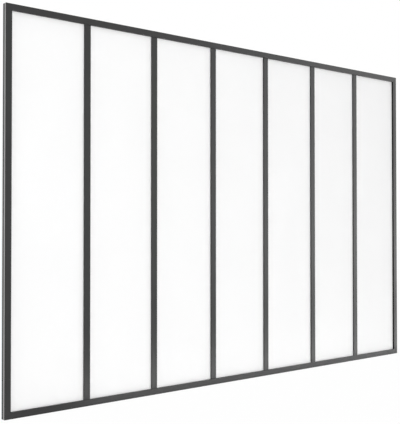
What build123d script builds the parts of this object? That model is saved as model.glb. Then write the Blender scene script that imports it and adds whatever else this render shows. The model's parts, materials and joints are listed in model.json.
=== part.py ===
from build123d import *
import os

# A fixed workshop-style interior window: one row of tall panes between slim T-section mullions,
# glazed from the rear into a mitred perimeter frame. Sizes are in millimetres.
# X runs along the wall, +Y rearwards, away from the front face, and +Z up. The origin is on the
# underside of the bottom rail, at mid length, on the line of the fixing holes.
# A section is drawn in u and d: u inwards from the member's outer face, d rearwards from its front.

# Overall sizes
frame_height = 1400.0
bay_count = 7
bay_pitch = 296.0
end_opening_width = 282.0

# Perimeter extrusion
frame_sightline = 23.0
flange_thickness = 3.5
body_width = 12.0
profile_wall = 1.8
outer_arris = 0.4
seal_groove_start = 1.5
seal_groove_width = 9.5
seal_groove_depth = 3.5
seal_recess = 0.4

# Mullion extrusion
mullion_sightline = 25.0
mullion_head = 5.5
stem_width = 7.0
stem_wall = 1.4
screw_port_diameter = 3.4

# Glass and its gaskets
glass_thickness = 5.0
glass_arris = 0.6
glass_gap_at_frame = 3.0
glass_gap_at_stem = 2.5
mullion_gasket_thickness = 1.5
front_gasket_inset = 0.8
front_gasket_clearance = 0.7
frame_gasket_wall = 2.0
rear_gasket_thickness = 1.0
rear_gasket_width = 5.0
rear_gasket_inset = 1.0
block_length = 50.0
block_from_pane_end = 50.0

# Glazing beads at the rear
bead_depth = 5.5
bead_wall = 1.0
bead_arris = 1.0
nib_groove_width = 1.2
nib_groove_depth = 0.8
nib_groove_from_rear = 0.6
nib_clearance = 0.15

# Corner cleats and holes
cleat_leg = 45.0
cleat_clearance = 0.2
fixing_hole_diameter = 4.5
jamb_fixing_count = 3
jamb_fixing_margin = 130.0

# Worked out from the sizes above: depths behind the front face
mullion_count = bay_count - 1
glass_front = flange_thickness + mullion_head + mullion_gasket_thickness
glass_rear = glass_front + glass_thickness
bead_front = glass_rear + rear_gasket_thickness
frame_depth = bead_front + bead_depth
seal_groove_end = seal_groove_start + seal_groove_width
fixing_line = (seal_groove_end + frame_depth) / 2
nib_groove_end = frame_depth - nib_groove_from_rear
nib_groove_start = nib_groove_end - nib_groove_width

# Worked out from the sizes above: widths and places along X
mullion_half = mullion_sightline / 2
stem_half = stem_width / 2
middle_opening = bay_pitch - mullion_sightline
frame_width = (
    2 * (frame_sightline + end_opening_width)
    + mullion_count * mullion_sightline
    + (bay_count - 2) * middle_opening
)
half_width = frame_width / 2
mullion_places = [(i - (mullion_count - 1) / 2) * bay_pitch for i in range(mullion_count)]
sight_left = [-half_width + frame_sightline] + [x + mullion_half for x in mullion_places]
sight_right = [x - mullion_half for x in mullion_places] + [half_width - frame_sightline]
chamber_inner = body_width - profile_wall
pane_cover_at_frame = frame_sightline - body_width - glass_gap_at_frame
pane_cover_at_stem = mullion_half - stem_half - glass_gap_at_stem


def rectangle(u0, d0, u1, d1):
    """A rectangular face between two opposite corners of a section."""
    return Pos((u0 + u1) / 2, (d0 + d1) / 2) * Rectangle(u1 - u0, d1 - d0)


def corners_of(face, places):
    """The corners of a section that lie at the given places."""
    return [v for v in face.vertices() if any(abs(v.X - u) + abs(v.Y - d) < 1e-6 for u, d in places)]


def side_plane(side):
    """The plane in which a member's section is drawn, u inwards and d rearwards.

    It stands at one end of the member, and the member runs along its normal.
    """
    front = -fixing_line
    places = {
        "bottom": ((half_width, front, 0), (0, 0, 1)),
        "top": ((-half_width, front, frame_height), (0, 0, -1)),
        "left": ((-half_width, front, 0), (1, 0, 0)),
        "right": ((half_width, front, frame_height), (-1, 0, 0)),
    }
    corner, inwards = places[side]
    run = Vector(*inwards).cross(Vector(0, 1, 0))
    return Plane(origin=corner, x_dir=inwards, z_dir=run)


def side_length(side):
    return frame_width if side in ("bottom", "top") else frame_height


def run_between(section, side, start, end):
    """A square-cut strip along one side of the frame, from start to end of the side's length."""
    strip = Pos(0, 0, start) * extrude(section, end - start)
    return side_plane(side).location * strip


def run_mitred(section, side):
    """A strip along a whole side of the frame, cut at 45 degrees at both corners."""
    length = side_length(side)
    reach = frame_sightline
    outline = Polygon((0, 0), (reach, reach), (reach, length - reach), (0, length), align=None)
    kept = extrude(Plane.XZ * outline, -frame_depth)
    return side_plane(side).location * (extrude(section, length) & kept)


def nib_groove(u, direction):
    """The groove that a bead's nib clips into, cut into a face at u."""
    low, high = sorted((u, u - direction * nib_groove_depth))
    return rectangle(low, nib_groove_start, high, nib_groove_end)


def frame_section():
    """The perimeter extrusion: front flange, groove for the wall seal, and two chambers."""
    face = rectangle(0, 0, frame_sightline, flange_thickness)
    face += rectangle(0, flange_thickness, body_width, frame_depth)
    face -= rectangle(0, seal_groove_start, seal_groove_depth, seal_groove_end)
    face -= rectangle(
        seal_groove_depth + profile_wall, flange_thickness + profile_wall, chamber_inner, seal_groove_end
    )
    face -= rectangle(
        profile_wall, seal_groove_end + profile_wall, chamber_inner - nib_groove_depth, frame_depth - profile_wall
    )
    face -= nib_groove(body_width, 1)
    return fillet(corners_of(face, [(0, 0), (frame_sightline, 0)]), outer_arris)


def mullion_section():
    """The T extrusion, with u measured from its middle: head, stem, chamber and screw port."""
    face = rectangle(-mullion_half, flange_thickness, mullion_half, flange_thickness + mullion_head)
    face += rectangle(-stem_half, flange_thickness + mullion_head, stem_half, frame_depth)
    port_front = fixing_line - screw_port_diameter / 2
    chamber_half = stem_half - stem_wall
    face -= rectangle(
        -chamber_half, flange_thickness + mullion_head + stem_wall, chamber_half, port_front - stem_wall
    )
    face -= Pos(0, fixing_line) * Circle(screw_port_diameter / 2)
    face -= nib_groove(stem_half, 1)
    face -= nib_groove(-stem_half, -1)
    front_corners = [(-mullion_half, flange_thickness), (mullion_half, flange_thickness)]
    return fillet(corners_of(face, front_corners), outer_arris)


def bead_section(seat, sight):
    """A hollow clip-in glazing bead between its seat and the sight line, with its nib in the groove."""
    outside = rectangle(seat, bead_front, sight, frame_depth)
    face = chamfer(corners_of(outside, [(sight, frame_depth)]), bead_arris)
    face += rectangle(
        seat - nib_groove_depth + nib_clearance,
        nib_groove_start + nib_clearance,
        seat,
        nib_groove_end - nib_clearance,
    )
    hollow = rectangle(seat + bead_wall, bead_front + bead_wall, sight - bead_wall, frame_depth - bead_wall)
    return face - hollow


def frame_gasket_section():
    """The deep hollow gasket between the front flange and the glass."""
    outer = body_width + front_gasket_clearance
    inner = frame_sightline - front_gasket_inset
    wall = frame_gasket_wall
    hollow = rectangle(outer + wall, flange_thickness + wall, inner - wall, glass_front - wall)
    return rectangle(outer, flange_thickness, inner, glass_front) - hollow


def rear_gasket_section(sight):
    """The thin tape between the glass and a bead."""
    inner = sight - rear_gasket_inset
    return rectangle(inner - rear_gasket_width, glass_rear, inner, bead_front)


def fixing_hole(side, along):
    """A hole through the body of one side of the frame, on the fixing line."""
    hole = Cylinder(fixing_hole_diameter / 2, body_width, align=(Align.CENTER, Align.CENTER, Align.MIN))
    across = Plane(origin=(0, fixing_line, along), x_dir=(0, 1, 0), z_dir=(1, 0, 0))
    return side_plane(side).location * (across.location * hole)


def rail_fixing_places():
    """Every other bay has a fixing at its middle, counted from the rail's end."""
    middles = [(a + b) / 2 for a, b in zip(sight_left, sight_right)]
    return [half_width + x for x in middles[::2]]


def jamb_fixing_places():
    step = (frame_height - 2 * jamb_fixing_margin) / (jamb_fixing_count - 1)
    return [jamb_fixing_margin + i * step for i in range(jamb_fixing_count)]


def rail(side):
    """A mitred top or bottom rail with its wall fixings."""
    member = run_mitred(frame_section(), side)
    for along in rail_fixing_places():
        member -= fixing_hole(side, along)
    return member


def jamb(side):
    """A mitred side member with its wall fixings."""
    member = run_mitred(frame_section(), side)
    for along in jamb_fixing_places():
        member -= fixing_hole(side, along)
    return member


def wall_seal(side):
    """The sealing strip in the outer groove of one side, mitred like the frame."""
    section = rectangle(seal_recess, seal_groove_start, seal_groove_depth, seal_groove_end)
    return run_mitred(section, side)


def upright(section, x, start, end):
    """A strip along +Z at x, from start to end, its section drawn with u along +X."""
    plane = Plane(origin=(x, -fixing_line, start), x_dir=(1, 0, 0), z_dir=(0, 0, 1))
    return plane.location * extrude(section, end - start)


def mullion(x):
    """A mullion between the bodies of the two rails, its head passing behind their flanges."""
    return upright(mullion_section(), x, body_width, frame_height - body_width)


def pane_span(bay):
    """The left and right edges of a bay's glass."""
    left_cover = pane_cover_at_frame if bay == 0 else pane_cover_at_stem
    right_cover = pane_cover_at_frame if bay == bay_count - 1 else pane_cover_at_stem
    return sight_left[bay] - left_cover, sight_right[bay] + right_cover


def pane(bay):
    left, right = pane_span(bay)
    bottom = frame_sightline - pane_cover_at_frame
    sheet = Pos((left + right) / 2, (glass_front + glass_rear) / 2 - fixing_line, frame_height / 2) * Box(
        right - left, glass_thickness, frame_height - 2 * bottom
    )
    return chamfer(sheet.edges(), glass_arris)


def along_rail(side, x0, x1):
    """The start and end of a rail strip that spans x0 to x1."""
    if side == "bottom":
        return half_width - x1, half_width - x0
    return half_width + x0, half_width + x1


def flipped(section):
    """A section turned end for end, for the side of a mullion that faces the other way."""
    return mirror(section, Plane.YZ)


def mullion_strip(section, bay, on_left, start, end):
    """A strip along the mullion on one side of a bay; its section has u away from the middle."""
    x = mullion_places[bay - 1] if on_left else mullion_places[bay]
    return upright(section if on_left else flipped(section), x, start, end)


def front_gaskets(bay):
    """Deep gaskets along the frame's members and flat tapes behind the mullions' heads."""
    low = body_width
    high = frame_height - body_width
    tape = rectangle(
        stem_half + front_gasket_clearance,
        flange_thickness + mullion_head,
        mullion_half - front_gasket_inset,
        glass_front,
    )
    strips = []
    left, right = sight_left[bay], sight_right[bay]
    if bay == 0:
        strips.append(run_between(frame_gasket_section(), "left", low, high))
        left -= front_gasket_inset
    else:
        strips.append(mullion_strip(tape, bay, True, low, high))
    if bay == bay_count - 1:
        strips.append(run_between(frame_gasket_section(), "right", low, high))
        right += front_gasket_inset
    else:
        strips.append(mullion_strip(tape, bay, False, low, high))
    for side in ("bottom", "top"):
        strips.append(run_between(frame_gasket_section(), side, *along_rail(side, left, right)))
    return strips


def rear_strips(bay, frame_shape, mullion_shape, side_end, rail_inset):
    """Four strips round the rear of a pane: two full-height uprights with the others between them."""
    high = frame_height - side_end
    strips = []
    if bay == 0:
        strips.append(run_between(frame_shape, "left", side_end, high))
    else:
        strips.append(mullion_strip(mullion_shape, bay, True, side_end, high))
    if bay == bay_count - 1:
        strips.append(run_between(frame_shape, "right", side_end, high))
    else:
        strips.append(mullion_strip(mullion_shape, bay, False, side_end, high))
    left, right = sight_left[bay] - rail_inset, sight_right[bay] + rail_inset
    for side in ("bottom", "top"):
        strips.append(run_between(frame_shape, side, *along_rail(side, left, right)))
    return strips


def gaskets(bay):
    """All gaskets of one pane, front and rear."""
    rear = rear_strips(
        bay,
        rear_gasket_section(frame_sightline),
        rear_gasket_section(mullion_half),
        frame_sightline - pane_cover_at_frame,
        rear_gasket_inset,
    )
    return front_gaskets(bay) + rear


def beads(bay):
    """The four glazing beads of one pane."""
    return rear_strips(
        bay, bead_section(body_width, frame_sightline), bead_section(stem_half, mullion_half), body_width, 0
    )


def setting_blocks():
    """Two blocks under each pane, which carry the glass on the bottom rail."""
    block_middle_d = (glass_front + glass_rear) / 2
    blocks = []
    for bay in range(bay_count):
        left, right = pane_span(bay)
        for middle in (left + block_from_pane_end, right - block_from_pane_end):
            block = Box(block_length, glass_thickness, glass_gap_at_frame)
            place = Pos(middle, block_middle_d - fixing_line, body_width + glass_gap_at_frame / 2)
            blocks.append(place * block)
    return blocks


def corner_cleat():
    """An L-shaped cleat for the front chamber, at the corner where the left jamb starts."""
    outer = seal_groove_depth + profile_wall + cleat_clearance
    inner = chamber_inner - cleat_clearance
    end = outer + cleat_leg
    front = flange_thickness + profile_wall + cleat_clearance
    depth = seal_groove_end - cleat_clearance - front
    outline = Polygon(
        (outer, outer), (end, outer), (end, inner), (inner, inner), (inner, end), (outer, end), align=None
    )
    return Pos(-half_width, front - fixing_line, 0) * extrude(Plane.XZ * outline, -depth)


def corner_cleats():
    """The cleat repeated in the four corners of the frame."""
    lower_left = corner_cleat()
    lower_right = mirror(lower_left, Plane.YZ)
    middle = Plane.XY.offset(frame_height / 2)
    return [lower_left, lower_right, mirror(lower_left, middle), mirror(lower_right, middle)]


def save(name, solids):
    """Write one node's solids to its file."""
    shape = solids[0] if len(solids) == 1 else Compound(children=solids)
    export_step(shape, f"parts/{name}.step")


os.makedirs("parts", exist_ok=True)
save("bottom_rail", [rail("bottom")])
save("top_rail", [rail("top")])
save("left_jamb", [jamb("left")])
save("right_jamb", [jamb("right")])
for number, place in enumerate(mullion_places, 1):
    save(f"mullion_{number}", [mullion(place)])
for bay in range(bay_count):
    save(f"pane_{bay + 1}", [pane(bay)])
    save(f"glazing_gasket_{bay + 1}", gaskets(bay))
    save(f"glazing_bead_{bay + 1}", beads(bay))
for side in ("bottom", "top", "left", "right"):
    save(f"wall_seal_{side}", [wall_seal(side)])
save("setting_blocks", setting_blocks())
save("corner_cleats", corner_cleats())
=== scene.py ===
import json
import math

import bpy
from mathutils import Matrix, Vector


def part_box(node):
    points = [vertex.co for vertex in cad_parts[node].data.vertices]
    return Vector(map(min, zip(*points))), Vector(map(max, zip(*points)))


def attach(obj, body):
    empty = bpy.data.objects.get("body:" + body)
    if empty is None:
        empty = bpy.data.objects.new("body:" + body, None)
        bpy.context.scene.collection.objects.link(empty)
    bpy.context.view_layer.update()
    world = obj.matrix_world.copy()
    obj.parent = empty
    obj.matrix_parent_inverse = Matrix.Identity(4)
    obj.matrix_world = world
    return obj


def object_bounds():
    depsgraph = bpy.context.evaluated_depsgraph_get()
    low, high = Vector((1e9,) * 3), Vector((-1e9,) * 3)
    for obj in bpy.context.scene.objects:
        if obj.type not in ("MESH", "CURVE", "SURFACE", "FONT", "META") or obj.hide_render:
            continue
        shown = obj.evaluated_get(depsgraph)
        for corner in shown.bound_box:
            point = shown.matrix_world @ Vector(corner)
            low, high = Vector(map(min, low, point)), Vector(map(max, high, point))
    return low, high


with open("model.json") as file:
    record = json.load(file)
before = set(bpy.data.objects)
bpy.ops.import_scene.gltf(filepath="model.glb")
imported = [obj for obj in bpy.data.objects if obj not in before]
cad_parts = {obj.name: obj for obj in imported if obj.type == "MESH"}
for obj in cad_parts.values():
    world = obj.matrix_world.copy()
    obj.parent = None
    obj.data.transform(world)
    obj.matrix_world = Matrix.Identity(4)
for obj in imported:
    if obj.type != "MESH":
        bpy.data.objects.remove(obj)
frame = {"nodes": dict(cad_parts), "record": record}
cad_low, cad_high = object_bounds()

# Camera, in metres and radians, found from the window's own edges
CAMERA_PLACE = (-2.133, -2.40673, 0.65402)
CAMERA_YAW = 0.67429
CAMERA_PITCH = 0.01604
CAMERA_ROLL = 0.00027
FOCAL_PIXELS = 758.7
PICTURE_LONG_SIDE = 424.0
SENSOR_MM = 36.0

# Studio: the floor's side in metres, its own grey, how far it is seen as plain white, and the
# room's light
FLOOR_SIZE = 60.0
FLOOR_GREY = (0.85, 0.85, 0.85, 1.0)
FLOOR_WHITE_SHARE = 0.98
WHITE = (1.0, 1.0, 1.0, 1.0)
ROOM_LIGHT = 0.62

# Lamps: name, place, the point it faces, width and height, all in metres, and watts.
# Soft lamps light the window evenly, and sheen lamps only glint on what turns towards them.
SOFT_LAMPS = (
    ("front_soft", (-1.9, -6.3, 0.75), (-0.2, 0.0, 0.6), 3.0, 1.6, 197.0),
    ("back_soft", (-4.6, 4.6, 1.6), (0.0, 0.0, 0.6), 3.0, 2.0, 125.0),
    ("left_soft", (-4.5, -0.5, 1.8), (-1.0, 0.0, 0.8), 2.0, 2.0, 8.0),
    ("foot_soft", (0.6, -1.0, 0.08), (0.6, 0.0, 0.03), 3.4, 0.12, 0.7),
    ("low_right_soft", (1.0, -0.9, 0.1), (1.0, 0.0, 0.15), 1.8, 0.2, 0.3),
)
SHEEN_LAMPS = (
    ("right_sheen", (4.8, -3.4, 1.7), (0.8, 0.0, 0.9), 3.2, 3.2, 92.0),
    ("low_right_sheen", (3.6, -2.0, 0.27), (0.8, 0.0, 0.2), 2.5, 0.5, 28.0),
    ("foot_sheen", (1.05, -0.35, 0.037), (1.05, 0.0, 0.01), 3.3, 0.065, 3.8),
    ("rail_sheen", (1.0, -0.15, 0.02), (1.0, 0.0, 0.008), 3.4, 0.03, 1.5),
)

# The paint's hairlines at the mitres: how far in they run from the frame's outer side, and half
# their width along X, in metres
MITRE_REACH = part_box("bottom_rail")[1].z - cad_low.z
MITRE_LINE_HALF = 0.00012

# Countersunk screws through the rails into the mullions' screw ports, in metres
SCREW_HEAD_RADIUS = 0.0038
SCREW_NECK_RADIUS = 0.0019
SCREW_DEPTH = 0.0024
SCREW_SOCKET_RADIUS = 0.0017
SCREW_SOCKET_DEPTH = 0.0014
SCREW_PROUD = 0.0002
SCREW_SIDES = 32
SOCKET_SIDES = 6

MULLION_NODES = [name for name in frame["nodes"] if name.startswith("mullion_")]


def linear(level):
    """A grey of the 0 to 255 scale as a linear value, by the sRGB curve."""
    share = level / 255
    return share / 12.92 if share <= 0.04045 else ((share + 0.055) / 1.055) ** 2.4


def grey(level):
    """A grey of the 0 to 255 scale as an opaque colour."""
    value = linear(level)
    return (value, value, value, 1.0)


def new_material(name):
    """A material, its node tree and its principled shader, which is joined to the output."""
    material = bpy.data.materials.new(name)
    material.use_nodes = True
    tree = material.node_tree
    tree.nodes.clear()
    output = tree.nodes.new("ShaderNodeOutputMaterial")
    shader = tree.nodes.new("ShaderNodeBsdfPrincipled")
    tree.links.new(shader.outputs["BSDF"], output.inputs["Surface"])
    return material, tree, shader


def calculate(tree, operation, first, second=0.0):
    """A sum on two values, each a socket or a number; ABSOLUTE takes only the first."""
    node = tree.nodes.new("ShaderNodeMath")
    node.operation = operation
    for slot, value in zip(node.inputs, (first, second)):
        if isinstance(value, (int, float)):
            slot.default_value = value
        else:
            tree.links.new(value, slot)
    return node.outputs["Value"]


def object_place(tree):
    """The point's x, y and z on the object, in metres."""
    place = tree.nodes.new("ShaderNodeTexCoord")
    split = tree.nodes.new("ShaderNodeSeparateXYZ")
    tree.links.new(place.outputs["Object"], split.inputs["Vector"])
    return split.outputs["X"], split.outputs["Y"], split.outputs["Z"]


def object_noise(tree, scale, detail, roughness=0.5, stretch=(1.0, 1.0, 1.0)):
    """Noise fixed to the object, with scale as its cells per metre before the stretch."""
    place = tree.nodes.new("ShaderNodeTexCoord")
    mapping = tree.nodes.new("ShaderNodeMapping")
    mapping.inputs["Scale"].default_value = stretch
    noise = tree.nodes.new("ShaderNodeTexNoise")
    noise.inputs["Scale"].default_value = scale
    noise.inputs["Detail"].default_value = detail
    noise.inputs["Roughness"].default_value = roughness
    tree.links.new(place.outputs["Object"], mapping.inputs["Vector"])
    tree.links.new(mapping.outputs["Vector"], noise.inputs["Vector"])
    return noise.outputs["Fac"]


def between(tree, pattern, low, high):
    """A number that follows a 0 to 1 pattern from low to high."""
    span = tree.nodes.new("ShaderNodeMapRange")
    span.inputs["To Min"].default_value = low
    span.inputs["To Max"].default_value = high
    tree.links.new(pattern, span.inputs["Value"])
    return span.outputs["Result"]


def two_greys(tree, pattern, dark, light):
    """A colour that follows a 0 to 1 pattern between two greys of the 0 to 255 scale."""
    ramp = tree.nodes.new("ShaderNodeValToRGB")
    ramp.color_ramp.elements[0].color = grey(dark)
    ramp.color_ramp.elements[1].color = grey(light)
    tree.links.new(pattern, ramp.inputs["Fac"])
    return ramp.outputs["Color"]


def tint(tree, shader, pattern, dark, light):
    """Colour a finish between two greys by a pattern."""
    tree.links.new(two_greys(tree, pattern, dark, light), shader.inputs["Base Color"])


def roughen(tree, shader, pattern, low, high):
    """Vary a finish's roughness by a pattern."""
    tree.links.new(between(tree, pattern, low, high), shader.inputs["Roughness"])


def emboss(tree, shader, height, strength, distance):
    """Raise a finish's surface where a height pattern is high; distance is in metres."""
    node = tree.nodes.new("ShaderNodeBump")
    node.inputs["Strength"].default_value = strength
    node.inputs["Distance"].default_value = distance
    tree.links.new(height, node.inputs["Height"])
    tree.links.new(node.outputs["Normal"], shader.inputs["Normal"])


def mitre_line(tree):
    """1 on the hairline where a rail and a jamb meet at 45 degrees, else 0."""
    x, _, z = object_place(tree)
    from_side = calculate(tree, "SUBTRACT", cad_high.x, calculate(tree, "ABSOLUTE", x))
    from_end = calculate(tree, "MINIMUM", z, calculate(tree, "SUBTRACT", cad_high.z, z))
    apart = calculate(tree, "ABSOLUTE", calculate(tree, "SUBTRACT", from_side, from_end))
    on_line = calculate(tree, "LESS_THAN", apart, MITRE_LINE_HALF)
    near_corner = calculate(tree, "LESS_THAN", from_side, MITRE_REACH)
    return calculate(tree, "MULTIPLY", on_line, near_corner)


def charcoal_powder_coat():
    """Fine-textured satin powder coat on the extrusions, with the mitres' hairlines."""
    material, tree, shader = new_material("charcoal_powder_coat")
    cloud = object_noise(tree, scale=9.0, detail=3.0)
    grain = object_noise(tree, scale=1400.0, detail=2.0)
    line = mitre_line(tree)
    tone = tree.nodes.new("ShaderNodeMix")
    tone.data_type = "RGBA"
    tree.links.new(line, tone.inputs["Factor"])
    tree.links.new(two_greys(tree, cloud, dark=43, light=49), tone.inputs["A"])
    tone.inputs["B"].default_value = grey(12)
    tree.links.new(tone.outputs["Result"], shader.inputs["Base Color"])
    roughen(tree, shader, cloud, low=0.38, high=0.46)
    shader.inputs["Specular IOR Level"].default_value = 0.26
    height = calculate(tree, "SUBTRACT", grain, line)
    emboss(tree, shader, height, strength=0.4, distance=0.0002)
    return material


def satin_glass():
    """White light-scattering glass, etched on both faces."""
    material, tree, shader = new_material("satin_glass")
    etch = object_noise(tree, scale=2600.0, detail=1.0)
    cloud = object_noise(tree, scale=3.0, detail=2.0)
    tint(tree, shader, cloud, dark=251, light=254)
    roughen(tree, shader, etch, low=0.64, high=0.72)
    shader.inputs["Transmission Weight"].default_value = 0.2
    shader.inputs["IOR"].default_value = 1.5
    shader.inputs["Specular IOR Level"].default_value = 0.18
    return material


def gasket_rubber_and_reveal_shade():
    """Black extruded rubber with a slight sheen, its black pushed darker than plain rubber as painted
    shade for the recess in front of the glass.
    """
    material, tree, shader = new_material("black_gasket_with_painted_reveal_shade")
    grain = object_noise(tree, scale=900.0, detail=3.0)
    # Greys of 12 to 18 are darker than real rubber: the gasket's own black plus painted shade of the
    # reveal it lines.
    tint(tree, shader, grain, dark=12, light=18)
    roughen(tree, shader, grain, low=0.34, high=0.42)
    shader.inputs["Specular IOR Level"].default_value = 0.12
    emboss(tree, shader, grain, strength=0.15, distance=0.0001)
    return material


def grey_foam():
    """Open foam of the strip that seals the frame to the wall."""
    material, tree, shader = new_material("light_grey_foam")
    cells = object_noise(tree, scale=700.0, detail=4.0, roughness=0.7)
    tint(tree, shader, cells, dark=146, light=174)
    shader.inputs["Roughness"].default_value = 0.9
    emboss(tree, shader, cells, strength=0.5, distance=0.0004)
    return material


def block_plastic():
    """Moulded plastic of the blocks under the panes."""
    material, tree, shader = new_material("setting_block_plastic")
    grain = object_noise(tree, scale=400.0, detail=2.0)
    tint(tree, shader, grain, dark=88, light=100)
    shader.inputs["Roughness"].default_value = 0.55
    emboss(tree, shader, grain, strength=0.1, distance=0.0002)
    return material


def mill_aluminium():
    """Uncoated aluminium of the corner cleats, with faint extrusion lines."""
    material, tree, shader = new_material("mill_aluminium")
    lines = object_noise(tree, scale=60.0, detail=3.0, roughness=0.6, stretch=(1.0, 60.0, 1.0))
    tint(tree, shader, lines, dark=196, light=214)
    roughen(tree, shader, lines, low=0.32, high=0.45)
    shader.inputs["Metallic"].default_value = 1.0
    return material


def dark_zinc():
    """Blackened zinc on the screws."""
    material, tree, shader = new_material("dark_zinc")
    cloud = object_noise(tree, scale=500.0, detail=2.0)
    tint(tree, shader, cloud, dark=60, light=84)
    roughen(tree, shader, cloud, low=0.28, high=0.42)
    shader.inputs["Metallic"].default_value = 1.0
    return material


def dress_frame():
    """Give every piece of the CAD window the finish of its slot."""
    finishes = {
        "frame_paint": charcoal_powder_coat(),
        "satin_glass": satin_glass(),
        "gasket": gasket_rubber_and_reveal_shade(),
        "wall_seal": grey_foam(),
        "block": block_plastic(),
        "cleat": mill_aluminium(),
    }
    for row in frame["record"]["subparts"]:
        mesh = frame["nodes"][row["node"]].data
        mesh.materials.clear()
        mesh.materials.append(finishes[row["material_slot"]])


def new_piece(name, data):
    """An object that shows the data, in the scene."""
    piece = bpy.data.objects.new(name, data)
    bpy.context.scene.collection.objects.link(piece)
    return piece


def aim(place, forward, roll=0.0):
    """The matrix of a camera or lamp at a place, looking along forward."""
    turn = Vector(forward).to_track_quat("-Z", "Y").to_matrix().to_4x4()
    return Matrix.Translation(place) @ turn @ Matrix.Rotation(-roll, 4, "Z")


def camera():
    """The camera at the photograph's place; its sensor spans the picture's longer side."""
    data = bpy.data.cameras.new("camera")
    data.sensor_fit = "AUTO"
    data.sensor_width = SENSOR_MM
    data.lens = FOCAL_PIXELS * SENSOR_MM / PICTURE_LONG_SIDE
    forward = (
        math.sin(CAMERA_YAW) * math.cos(CAMERA_PITCH),
        math.cos(CAMERA_YAW) * math.cos(CAMERA_PITCH),
        math.sin(CAMERA_PITCH),
    )
    lens = new_piece("camera", data)
    lens.matrix_world = aim(CAMERA_PLACE, forward, CAMERA_ROLL)
    bpy.context.scene.camera = lens


def area_lamp(name, place, target, width, height, watts):
    """A rectangular lamp that faces its target and isn't seen itself."""
    data = bpy.data.lights.new(name, "AREA")
    data.shape = "RECTANGLE"
    data.size = width
    data.size_y = height
    data.energy = watts
    lamp = new_piece(name, data)
    lamp.matrix_world = aim(place, Vector(target) - Vector(place))
    lamp.visible_camera = False
    return lamp


def studio_lamps():
    """Soft lamps, which leave no sheen, and sheen lamps, which stay out of the glass."""
    for settings in SOFT_LAMPS:
        area_lamp(*settings).visible_glossy = False
    for settings in SHEEN_LAMPS:
        lamp = area_lamp(*settings)
        lamp.visible_diffuse = False
        lamp.visible_transmission = False


def seen_directly(tree):
    """1 for rays that come from the camera, a reflection or a clear body, else 0."""
    path = tree.nodes.new("ShaderNodeLightPath")
    mirrored = calculate(tree, "MAXIMUM", path.outputs["Is Camera Ray"], path.outputs["Is Glossy Ray"])
    return calculate(tree, "MAXIMUM", mirrored, path.outputs["Is Transmission Ray"])


def studio_world():
    """Soft even light, seen as white."""
    world = bpy.data.worlds.new("studio")
    world.use_nodes = True
    bpy.context.scene.world = world
    tree = world.node_tree
    tree.nodes.clear()
    output = tree.nodes.new("ShaderNodeOutputWorld")
    light = tree.nodes.new("ShaderNodeBackground")
    light.inputs["Color"].default_value = WHITE
    strength = between(tree, seen_directly(tree), low=ROOM_LIGHT, high=1.0)
    tree.links.new(strength, light.inputs["Strength"])
    tree.links.new(light.outputs["Background"], output.inputs["Surface"])


def floor_white():
    """A pale floor paint that is seen as nearly plain white and still takes a soft shadow."""
    material = bpy.data.materials.new("studio_floor")
    material.use_nodes = True
    tree = material.node_tree
    tree.nodes.clear()
    output = tree.nodes.new("ShaderNodeOutputMaterial")
    paint = tree.nodes.new("ShaderNodeBsdfDiffuse")
    paint.inputs["Color"].default_value = FLOOR_GREY
    glow = tree.nodes.new("ShaderNodeEmission")
    glow.inputs["Strength"].default_value = 1.0
    mix = tree.nodes.new("ShaderNodeMixShader")
    share = between(tree, seen_directly(tree), low=0.0, high=FLOOR_WHITE_SHARE)
    tree.links.new(share, mix.inputs["Fac"])
    tree.links.new(paint.outputs["BSDF"], mix.inputs[1])
    tree.links.new(glow.outputs["Emission"], mix.inputs[2])
    tree.links.new(mix.outputs["Shader"], output.inputs["Surface"])
    return material


def studio_floor():
    """A wide floor, level with the lowest screw heads."""
    mesh = bpy.data.meshes.new("floor")
    half = FLOOR_SIZE / 2
    level = cad_low.z - SCREW_PROUD
    corners = [(x * half, y * half, level) for x, y in ((-1, -1), (1, -1), (1, 1), (-1, 1))]
    mesh.from_pydata(corners, [], [(0, 1, 2, 3)])
    mesh.materials.append(floor_white())
    new_piece("floor", mesh)


def add_input(tree, name, kind, value):
    """A named input of a node tree, with the value it has unless it is set."""
    socket = tree.interface.new_socket(name, in_out="INPUT", socket_type=kind)
    socket.default_value = value


def screw_inputs(tree):
    """The sizes of a screw and the places of its rows, as named inputs."""
    lengths = {
        "Head Radius": SCREW_HEAD_RADIUS,
        "Neck Radius": SCREW_NECK_RADIUS,
        "Head Depth": SCREW_DEPTH,
        "Socket Radius": SCREW_SOCKET_RADIUS,
        "Socket Depth": SCREW_SOCKET_DEPTH,
        "First X": 0.0,
        "Pitch": 0.0,
        "Top": 0.0,
        "Bottom": 0.0,
    }
    for name, value in lengths.items():
        add_input(tree, name, "NodeSocketFloat", value)
    add_input(tree, "Count", "NodeSocketInt", 1)
    return tree.nodes.new("NodeGroupInput").outputs


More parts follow.
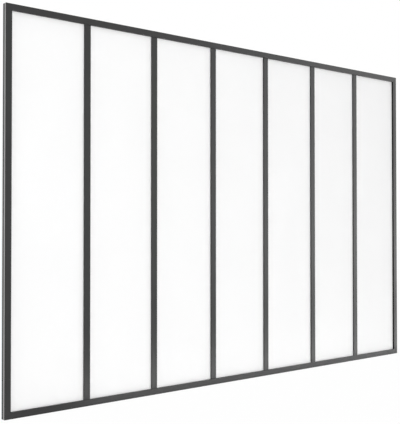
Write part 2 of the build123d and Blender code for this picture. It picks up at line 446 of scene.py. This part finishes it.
def screw_head(tree, given):
    """A countersunk head with its flat top at the origin and a hex socket cut into it."""
    cone = tree.nodes.new("GeometryNodeMeshCone")
    cone.inputs["Vertices"].default_value = SCREW_SIDES
    tree.links.new(given["Head Radius"], cone.inputs["Radius Top"])
    tree.links.new(given["Neck Radius"], cone.inputs["Radius Bottom"])
    tree.links.new(given["Head Depth"], cone.inputs["Depth"])
    drop = tree.nodes.new("ShaderNodeCombineXYZ")
    tree.links.new(calculate(tree, "MULTIPLY", given["Head Depth"], -1.0), drop.inputs["Z"])
    lowered = tree.nodes.new("GeometryNodeTransform")
    tree.links.new(cone.outputs["Mesh"], lowered.inputs["Geometry"])
    tree.links.new(drop.outputs["Vector"], lowered.inputs["Translation"])

    socket = tree.nodes.new("GeometryNodeMeshCylinder")
    socket.inputs["Vertices"].default_value = SOCKET_SIDES
    tree.links.new(given["Socket Radius"], socket.inputs["Radius"])
    tree.links.new(calculate(tree, "MULTIPLY", given["Socket Depth"], 2.0), socket.inputs["Depth"])
    cut = tree.nodes.new("GeometryNodeMeshBoolean")
    cut.operation = "DIFFERENCE"
    tree.links.new(lowered.outputs["Geometry"], cut.inputs["Mesh 1"])
    tree.links.new(socket.outputs["Mesh"], cut.inputs["Mesh 2"])
    return cut.outputs["Mesh"]


def screw_row(tree, given, head, level, tilt):
    """Heads in a row along +X at the height of the named input, tilted about X."""
    start = tree.nodes.new("ShaderNodeCombineXYZ")
    tree.links.new(given["First X"], start.inputs["X"])
    tree.links.new(given[level], start.inputs["Z"])
    step = tree.nodes.new("ShaderNodeCombineXYZ")
    tree.links.new(given["Pitch"], step.inputs["X"])
    row = tree.nodes.new("GeometryNodeMeshLine")
    tree.links.new(given["Count"], row.inputs["Count"])
    tree.links.new(start.outputs["Vector"], row.inputs["Start Location"])
    tree.links.new(step.outputs["Vector"], row.inputs["Offset"])
    placed = tree.nodes.new("GeometryNodeInstanceOnPoints")
    placed.inputs["Rotation"].default_value = (tilt, 0.0, 0.0)
    tree.links.new(row.outputs["Mesh"], placed.inputs["Points"])
    tree.links.new(head, placed.inputs["Instance"])
    return placed.outputs["Instances"]


def screw_tree(finish):
    """A row of screws with their heads up, and a second row below with their heads down."""
    tree = bpy.data.node_groups.new("screw_rows", "GeometryNodeTree")
    tree.interface.new_socket("Geometry", in_out="OUTPUT", socket_type="NodeSocketGeometry")
    given = screw_inputs(tree)
    head = screw_head(tree, given)
    rows = tree.nodes.new("GeometryNodeJoinGeometry")
    for level, tilt in (("Top", 0.0), ("Bottom", math.pi)):
        tree.links.new(screw_row(tree, given, head, level, tilt), rows.inputs["Geometry"])
    real = tree.nodes.new("GeometryNodeRealizeInstances")
    coat = tree.nodes.new("GeometryNodeSetMaterial")
    coat.inputs["Material"].default_value = finish
    result = tree.nodes.new("NodeGroupOutput")
    tree.links.new(rows.outputs["Geometry"], real.inputs["Geometry"])
    tree.links.new(real.outputs["Geometry"], coat.inputs["Geometry"])
    tree.links.new(coat.outputs["Geometry"], result.inputs["Geometry"])
    return tree


def made_mesh(name, tree, sizes):
    """The plain mesh that a node tree makes with its named inputs set to the sizes."""
    seed = new_piece(f"{name}_seed", bpy.data.meshes.new(f"{name}_seed"))
    maker = seed.modifiers.new("maker", "NODES")
    maker.node_group = tree
    for item in tree.interface.items_tree:
        if item.in_out == "INPUT" and item.name in sizes:
            maker[item.identifier] = sizes[item.name]
    graph = bpy.context.evaluated_depsgraph_get()
    mesh = bpy.data.meshes.new_from_object(seed.evaluated_get(graph))
    mesh.name = name
    seed.modifiers.remove(maker)
    bpy.data.objects.remove(seed)
    return mesh


def middle_x(node):
    """The x of a node's middle."""
    low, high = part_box(node)
    return (low.x + high.x) / 2


def mullion_screws():
    """One screw for each mullion's end, in the top rail and in the bottom rail."""
    middles = sorted(middle_x(node) for node in MULLION_NODES)
    sizes = {
        "First X": middles[0],
        "Pitch": middles[1] - middles[0],
        "Top": cad_high.z + SCREW_PROUD,
        "Bottom": cad_low.z - SCREW_PROUD,
        "Count": len(middles),
    }
    piece = new_piece("mullion_screws", made_mesh("mullion_screws", screw_tree(dark_zinc()), sizes))
    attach(piece, "root")


dress_frame()
camera()
studio_world()
studio_floor()
studio_lamps()
mullion_screws()

bpy.context.scene.view_settings.view_transform = "Standard"
